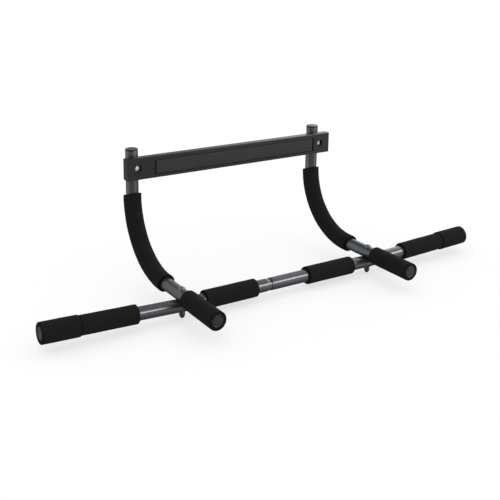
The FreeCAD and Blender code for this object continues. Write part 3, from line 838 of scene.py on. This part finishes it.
strip_rubber = moulded(
    "strip_rubber", (0.0175, 0.0155, 0.0140), (0.0235, 0.0208, 0.0190), 0.6, 0.5 * MM, 0.03 * MM, 0.3
)
beam_plastic = moulded("crossbar_plastic", (0.005,) * 3, (0.009,) * 3, 0.26, 0.4 * MM, 0.012 * MM, 0.35)
cap_plastic = moulded("cap_plastic", (0.004,) * 3, (0.007,) * 3, 0.22, 0.5 * MM, 0.010 * MM, 0.25)
cap_face = moulded("cap_face", (0.011,) * 3, (0.018,) * 3, 0.24, 0.5 * MM, 0.012 * MM, 0.35)
print("moulded finishes:", strip_rubber.name, beam_plastic.name, cap_plastic.name, cap_face.name)

# %% [markdown]
# ### Plated steel
#
# The crossbar's bolts are bright zinc; the bar's heads are grey and its nuts blackened. Plating follows the
# turning marks of the steel under it, so the roughness varies in fine rings; on pieces this small a fine
# noise reads the same.


# %% Bright and dark plating
def plating(name, metallic, dark, light, roughness):
    """Plated steel: a metal with a fine uneven polish. A dull plating is only partly metallic."""
    metal = Finish(name, Metallic=metallic)
    grain = metal.noise(0.7 * MM, 3)
    metal.bump(grain, 0.01 * MM)
    return metal.feed(Base_Color=metal.between(dark, light, grain), Roughness=roughness + grain * 0.15)


bright_zinc = plating("bright_zinc", 0.5, (0.74, 0.75, 0.76), (0.88, 0.88, 0.89), 0.28)
grey_zinc = plating("grey_zinc", 0.85, (0.15, 0.155, 0.16), (0.27, 0.275, 0.28), 0.26)
dark_zinc = plating("black_zinc", 0.9, (0.045, 0.047, 0.051), (0.085, 0.088, 0.095), 0.26)
print("platings:", bright_zinc.name, grey_zinc.name, dark_zinc.name)

# %% [markdown]
# ### Dressing the pieces
#
# A word in a piece's name tells its finish. The crossbar is the one CAD node that stays in sight: its shape
# is already right, so it only gets its plastic, a weld and a small bevel along its cut edges.

# %% Giving each piece its finish
BEAM_EDGE = 0.35 * MM
FINISHES = (
    ("bar_tube", bar_coat), ("_arm", arm_coat), ("_foam", black_foam), ("_plug", cap_plastic),
    ("wall_strip", strip_rubber), ("crossbar", bright_zinc),
    ("bar_bolt", grey_zinc), ("bar_nut", dark_zinc),
)
SECOND_FINISH = {black_foam: cut_foam_painted_shade, cap_plastic: cap_face}
for name, piece in made.items():
    found = [material for word, material in FINISHES if name.endswith(word)]
    found += [material for word, material in FINISHES if word in name]
    piece.data.materials.append(found[0])
    if found[0] in SECOND_FINISH:
        piece.data.materials.append(SECOND_FINISH[found[0]])

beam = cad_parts["crossbar"]
beam.material_slots[0].material = beam_plastic
weld = beam.modifiers.new("weld", "WELD")
weld.merge_threshold = 1e-6
bevel = beam.modifiers.new("eased edges", "BEVEL")
bevel.width = BEAM_EDGE
bevel.segments = 2
bevel.limit_method = "ANGLE"
bevel.angle_limit = np.radians(40)
bevel.harden_normals = True
print(len(made), "new pieces and the crossbar have their finishes")

# %% [markdown]
# ## The studio
#
# The object stands on its two dome nuts on a white floor that runs out of sight. The floor is a thin sheet
# with light under it, as on a photographer's table, so the shadows on it stay pale. A white sky lights the
# object from all round. What the metal reflects is a studio with a bright band round the horizon that is
# darker behind the camera, which is what makes the middle of a round tube darker than its sides. One long
# lamp in front draws the bright line on the bar; it only shows in reflections, because its own shadows would
# be hard ones.

# %% Floor
FLOOR_SIZE = 60
FLOOR_WHITE = 0.32
FLOOR_GLOW = 0.65
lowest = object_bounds()[0].z
floor_mesh = bpy.data.meshes.new("floor")
half_floor = FLOOR_SIZE / 2
ways = ((-1, -1), (1, -1), (1, 1), (-1, 1))
floor_corners = [(x * half_floor, y * half_floor, lowest) for x, y in ways]
floor_mesh.from_pydata(floor_corners, [], [(0, 1, 2, 3)])
floor = bpy.data.objects.new("floor", floor_mesh)
bpy.context.scene.collection.objects.link(floor)
floor.visible_glossy = False
paper = Finish(
    "white_floor", Roughness=0.9, Specular_IOR_Level=0.0,
    Base_Color=(FLOOR_WHITE, FLOOR_WHITE, FLOOR_WHITE, 1),
    Emission_Color=(1, 1, 1, 1), Emission_Strength=FLOOR_GLOW,
)
floor_mesh.materials.append(paper.material)
print("the floor is at z = %.1f mm" % (lowest / MM))


# %% Sky
SEEN_SKY = 1.1
LOW_SKY = 0.75
HIGH_SKY = 1.3
BAND_LIGHT = 0.85
DIM_LIGHT = 0.33
LIGHT_PER_HEIGHT = 0.1
DARK_SIDE_LIGHT = 0.12
BACK_WALL_DARK = 0.88
BAND_ABOVE = (0.25, 0.75)
BAND_BELOW = (-0.25, -0.75)
DARK_SIDE = (0.1, 0.9)
BACK_WALL = (0.42, 0.12)
FAR_BACK = (-0.15, -0.7)
GLOW_ACROSS = (0.46, 0.68)
GLOW_UP = (0.02, 0.2)
GLOW_BEHIND = (0, -0.4)
GLOW_LIGHT = 2.0


def studio_sky(toward_camera):
    """A white sky that lights the object, brighter overhead, and a studio for the metal to reflect.

    The studio is a bright band round the horizon on a dim ground. The band's strength falls off smoothly
    with height above or below it, on the side that faces the camera, and at a low dark wall behind the
    object. A window in that wall adds a glow at the object's right end.
    """
    world = bpy.data.worlds.new("studio")
    bpy.context.scene.world = world
    world.use_nodes = True
    sky = Network(world.node_tree)
    background = world.node_tree.nodes["Background"]
    where = sky.node("ShaderNodeTexCoord", {}, {}, "Generated")
    across = sky.node("ShaderNodeSeparateXYZ", {}, {0: where}, "X")
    height = sky.node("ShaderNodeSeparateXYZ", {}, {0: where}, "Z")
    facing = sky.node(
        "ShaderNodeVectorMath", {"operation": "DOT_PRODUCT"}, {0: where, 1: toward_camera}, "Value"
    )

    def fade(value, near, far, full, least):
        """Goes smoothly from full at near to least at far."""
        ends = {"Value": value, "From Min": near, "From Max": far, "To Min": full, "To Max": least}
        return sky.node("ShaderNodeMapRange", {"interpolation_type": "SMOOTHSTEP"}, ends)

    above, below = fade(height, *BAND_ABOVE, 1, 0), fade(height, *BAND_BELOW, 1, 0)
    away = fade(facing, *DARK_SIDE, 1, DARK_SIDE_LIGHT)
    back_wall = fade(height, *BACK_WALL, 0, 1) * fade(facing, *FAR_BACK, 0, 1)
    band = above * below * away * BAND_LIGHT + height * LIGHT_PER_HEIGHT + DIM_LIGHT
    studio = band * (1 - back_wall * BACK_WALL_DARK)
    window = fade(across, *GLOW_ACROSS, 0, 1) * fade(height, *GLOW_UP, 0, 1)
    glow = window * fade(facing, *GLOW_BEHIND, 0, 1)
    studio = studio + glow * GLOW_LIGHT
    seen = sky.node("ShaderNodeLightPath", {}, {}, "Is Camera Ray")
    reflected = sky.node("ShaderNodeLightPath", {}, {}, "Is Glossy Ray")
    around = height * (HIGH_SKY - LOW_SKY) + LOW_SKY
    strength = studio * reflected + seen * SEEN_SKY + (1 - seen - reflected) * around
    sky.link(background.inputs["Strength"], strength)
    background.inputs["Color"].default_value = (1, 1, 1, 1)


def lamp(name, place, target, size, power):
    """A rectangular lamp at a place, turned to shine at a target."""
    data = bpy.data.lights.new(name, "AREA")
    data.shape = "RECTANGLE"
    data.size, data.size_y = size
    data.energy = power
    thing = bpy.data.objects.new(name, data)
    thing.location = place
    thing.rotation_euler = (Vector(target) - Vector(place)).to_track_quat("-Z", "Y").to_euler()
    bpy.context.scene.collection.objects.link(thing)
    return thing


# %% Lighting the studio
LAMP_PLACE = (0.95, -1.5, 0.62)
LAMP_TARGET = (0.0, -0.17, -0.2)
LAMP_SIZE = (2.2, 0.34)
LAMP_POWER = 27
AZIMUTH, ELEVATION, ROLL = (np.radians(v) for v in (-31.579, 14.691, 0.576))
studio_sky((np.sin(AZIMUTH), -np.cos(AZIMUTH), 0))
strip_lamp = lamp("strip lamp", LAMP_PLACE, LAMP_TARGET, LAMP_SIZE, LAMP_POWER)
strip_lamp.visible_diffuse = False
bpy.context.scene.view_settings.view_transform = "Standard"
print("the studio has a sky and a %.1f m long lamp" % LAMP_SIZE[0])

# %% [markdown]
# ## The camera
#
# The camera looks from the front left, a little from above, and is turned by half a degree. The lens is
# shifted, which moves the object off the middle of the view without turning the camera. The camera is
# placed so that the middle of the bar is at a known offset from it along its own right, up and back.

# %% Camera
LENS = 61.74
SHIFT = (0.0433, -0.1818)
BAR_FROM_CAMERA = np.array([0.10371, -0.24240, -1.69893])

back = np.array([
    np.sin(AZIMUTH) * np.cos(ELEVATION), -np.cos(AZIMUTH) * np.cos(ELEVATION), np.sin(ELEVATION)
])
right = np.array([np.cos(AZIMUTH), np.sin(AZIMUTH), 0])
up = np.cross(back, right)
right_rolled = np.cos(ROLL) * right + np.sin(ROLL) * up
up_rolled = -np.sin(ROLL) * right + np.cos(ROLL) * up
axes = np.stack([right_rolled, up_rolled, back], 1)

camera_data = bpy.data.cameras.new("camera")
camera_data.lens = LENS
camera_data.shift_x, camera_data.shift_y = SHIFT
camera = bpy.data.objects.new("camera", camera_data)
bpy.context.scene.collection.objects.link(camera)
placed = np.eye(4)
placed[:3, :3] = axes
placed[:3, 3] = bar_middle - axes @ BAR_FROM_CAMERA
camera.matrix_world = Matrix(placed.tolist())
bpy.context.scene.camera = camera
print("camera at", placed[:3, 3])
